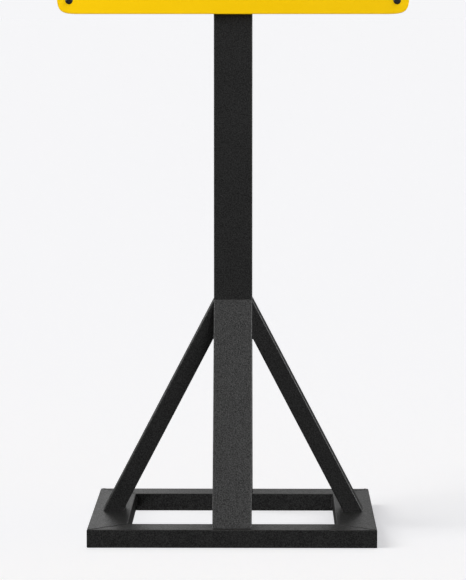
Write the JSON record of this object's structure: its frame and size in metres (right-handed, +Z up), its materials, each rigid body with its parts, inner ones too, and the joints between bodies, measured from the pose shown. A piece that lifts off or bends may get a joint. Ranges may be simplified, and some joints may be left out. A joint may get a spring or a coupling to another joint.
{
  "type": "signpost with sign",
  "caption": "Free-standing signpost: square base frame of flat tube, braces up to a square post, and a blank rounded sign panel held by channels and clamps.",
  "frame": {"origin": "on the floor at the middle of the base frame", "axes": "+Z up along the post; the sign faces -Y; +X to the right of someone who looks at the sign"},
  "size_m": [0.728, 0.587, 2.095],
  "materials": {
    "black_powder_coat": "fine leather-textured matt powder coat",
    "yellow_paint": "smooth satin coat",
    "mill_aluminium": "mill finish with fine drawing lines",
    "black_steel": "black-oxide steel, slightly glossy",
    "zinc_steel": "bright zinc plate",
    "black_plastic": "fine-grained moulded plastic"
  },
  "bodies": {
    "root": {"base_front_rail": "black_powder_coat", "base_back_rail": "black_powder_coat", "base_left_rail": "black_powder_coat", "base_right_rail": "black_powder_coat", "post": "black_powder_coat", "front_brace": "black_powder_coat", "back_brace": "black_powder_coat", "left_brace": "black_powder_coat", "right_brace": "black_powder_coat", "mitre_welds": "black_powder_coat", "brace_foot_welds": "black_powder_coat", "brace_head_welds": "black_powder_coat", "lower_post_clamp": "black_powder_coat", "upper_post_clamp": "black_powder_coat", "sign_panel": "yellow_paint", "lower_sign_channel": "mill_aluminium", "upper_sign_channel": "mill_aluminium", "sign_bolts": "black_steel", "sign_channel_nuts": "zinc_steel", "clamp_bolts": "zinc_steel", "clamp_washers": "zinc_steel", "clamp_channel_nuts": "zinc_steel", "post_top_plug": "black_plastic", "post_bottom_plug": "black_plastic", "channel_end_caps": "black_plastic"}
  },
  "joints": []
}
